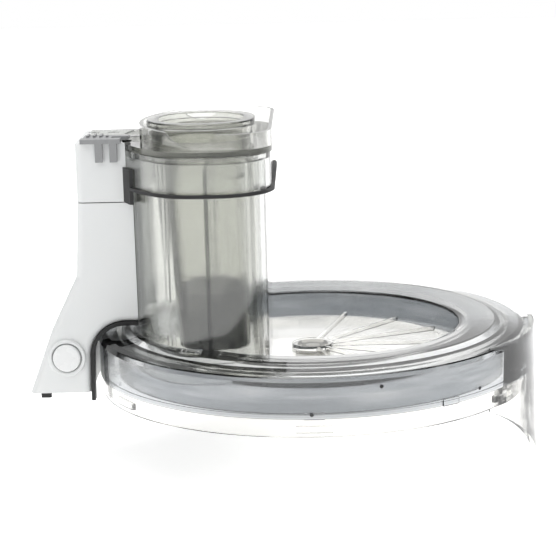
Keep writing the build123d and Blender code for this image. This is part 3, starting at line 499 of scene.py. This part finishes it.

# %% [markdown]
# ## Finishes on the CAD pieces
#
# Every CAD piece keeps its shape. It gets its own finish.

# %% Paint the CAD pieces
FINISH = {
    cover_clear: ("cover",),
    tube_clear: ("feed_tube", "pusher_sleeve"),
    pusher_clear: ("large_pusher", "pusher_crown", "pusher_foot_plate", "small_pusher", "small_pusher_rim"),
    white_abs: ("housing_front_shell", "housing_back_shell", "sleeve_arm", "arm_cap", "button_bezel"),
    button_white: ("release_button",),
    mid_grey: ("pusher_lock_slider", "lock_bolt"),
    foot_grey: ("small_pusher_foot",),
    # housing_edge_seals and sleeve_trim are black strips of painted shade in the gaps along the housing, the
    # arm and the sleeve; housing_feet are rubber
    black_rubber: ("housing_edge_seals", "housing_feet", "sleeve_trim"),
    nylon: ("hub_bush", "rod_guide", "latch_pawl", "interlock_rod", "actuator_plunger"),
    zinc_steel: ("button_spring", "rod_spring", "latch_pin", "housing_screws", "arm_screws"),
}


def paint_node(name, paint):
    piece = nodes[name]
    piece.data.materials.clear()
    piece.data.materials.append(paint)


for paint, names in FINISH.items():
    for name in names:
        paint_node(name, paint)
print("painted", sum(len(names) for names in FINISH.values()), "of", len(nodes))

# %% [markdown]
# ## Small moulded and fitted details
#
# What is left are the things that only show close up. Each is modelled as its own small mesh that rides on
# the piece it belongs to. Round ones are a short profile spun about an axis, because a spin closes the shape
# and lets the profile say where the edge is crisp and where it is soft.

# %% Helpers for new pieces
def finish_piece(shape, name, paint, body, sharp=math.radians(40)):
    """Turn a bmesh into an object at the origin that rides on a CAD body."""
    bmesh.ops.remove_doubles(shape, verts=shape.verts, dist=0.002 * MM)
    bmesh.ops.recalc_face_normals(shape, faces=shape.faces)
    for face in shape.faces:
        face.smooth = True
    for edge in shape.edges:
        edge.smooth = len(edge.link_faces) == 2 and edge.calc_face_angle(0) < sharp
    mesh = bpy.data.meshes.new(name)
    shape.to_mesh(mesh)
    shape.free()
    mesh.materials.append(paint)
    piece = bpy.data.objects.new(name, mesh)
    bpy.context.collection.objects.link(piece)
    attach(piece, body)
    print(name, "faces", len(mesh.polygons))
    return piece


def add_turned(shape, profile, place, steps=24):
    """Spin a profile of (radius, height) in millimetres about its own axis, and put it at place, a matrix."""
    before = set(shape.verts)
    points = [shape.verts.new((radius * MM, 0, height * MM)) for radius, height in profile]
    lines = [shape.edges.new(pair) for pair in zip(points, points[1:])]
    bmesh.ops.spin(shape, geom=points + lines, cent=(0, 0, 0), axis=(0, 0, 1), angle=math.tau, steps=steps,
                   use_merge=True)
    made = [vert for vert in shape.verts if vert not in before]
    bmesh.ops.transform(shape, matrix=place, verts=made)


def upright_on_skirt(angle, height, radius):
    """A frame on the outside of the cover: its Z axis points away from the axis of the cover."""
    turn = Matrix.Rotation(math.radians(angle), 4, "Z") @ Matrix.Rotation(math.radians(90), 4, "Y")
    out = Vector((math.cos(math.radians(angle)), math.sin(math.radians(angle)), 0)) * radius
    return Matrix.Translation(out + Vector((0, 0, height * MM))) @ turn


# %% [markdown]
# The band of the cover shows three small dark spots, where the locating ribs inside the skirt look dark through
# the clear wall. They are painted shade: low black buttons nearly two millimetres wide. They could be flat
# spots in the material, but a real button catches the light on its edge.

# %% Painted shade spots on the cover
RIB_SHADE_SPOTS = ((-90.6, -15.4), (-73.3, -4.5), (-43.4, -13.7))
SKIRT_R = 102.9 * MM
shape = bmesh.new()
for angle, height in RIB_SHADE_SPOTS:
    add_turned(shape, ((0, 0.35), (0.55, 0.33), (0.85, 0.15), (0.9, -0.2), (0, -0.2)),
               upright_on_skirt(angle, height, SKIRT_R), steps=16)
finish_piece(shape, "rib_shade_spots", black_rubber, "root")

# %% [markdown]
# The three screws of the arm cap have crowned heads with a cross recess. The CAD gives the shank and a flat
# head, so a crowned disc lies on each. The recess is too shallow to cut at this size, so two dark bevelled
# bars, barely proud of the crown, stand for it as painted shade of the hollow.

# %% Crowned screw heads
CROWN_HIGH = 0.30 * MM
BAR_HIGH = 0.10 * MM
DRIVEN_TURN = 20              # where the screwdriver left the cross, in degrees


def add_screw_crown(shape, place, radius):
    """A crowned disc that lies on a flat screw head."""
    add_turned(shape, ((radius, 0), (radius, 0.12), (radius * 0.92, 0.22), (radius * 0.55, 0.30),
                       (radius * 0.5, 0.31), (0, 0.31)), place, steps=32)


def add_cross(shape, place, reach, width):
    """Two crossed bars with broken edges, painted shade of a cross recess. reach and width are in millimetres.
    """
    for turn in (0, 90):
        made = bmesh.ops.create_cube(shape, size=1.0)["verts"]
        bmesh.ops.scale(shape, verts=made, vec=(reach * 2 * MM, width * MM, BAR_HIGH))
        edges = list({edge for vert in made for edge in vert.link_edges})
        cut = bmesh.ops.bevel(shape, geom=edges, offset=0.03 * MM, offset_type="OFFSET", segments=1,
                              affect="EDGES", profile=0.5, material=-1)
        made = list({vert for face in cut["faces"] for vert in face.verts})
        spun = Matrix.Rotation(math.radians(turn + DRIVEN_TURN), 4, "Z")
        bmesh.ops.transform(shape, verts=made, matrix=place @ spun @ Matrix.Translation((0, 0, CROWN_HIGH)))


CAP_TOP = high("arm_screws").z
SCREW_PLACES = ((-103.0, 17.0), (-93.5, 17.0), (-103.0, -5.5))
crowns, crosses = bmesh.new(), bmesh.new()
for x, y in SCREW_PLACES:
    place = Matrix.Translation((x * MM, y * MM, CAP_TOP))
    add_screw_crown(crowns, place, 2.1)
    add_cross(crosses, place, 1.15, 0.42)
finish_piece(crowns, "screw_crowns", zinc_steel, "sleeve")
finish_piece(crosses, "screw_recess_shade", black_rubber, "sleeve")
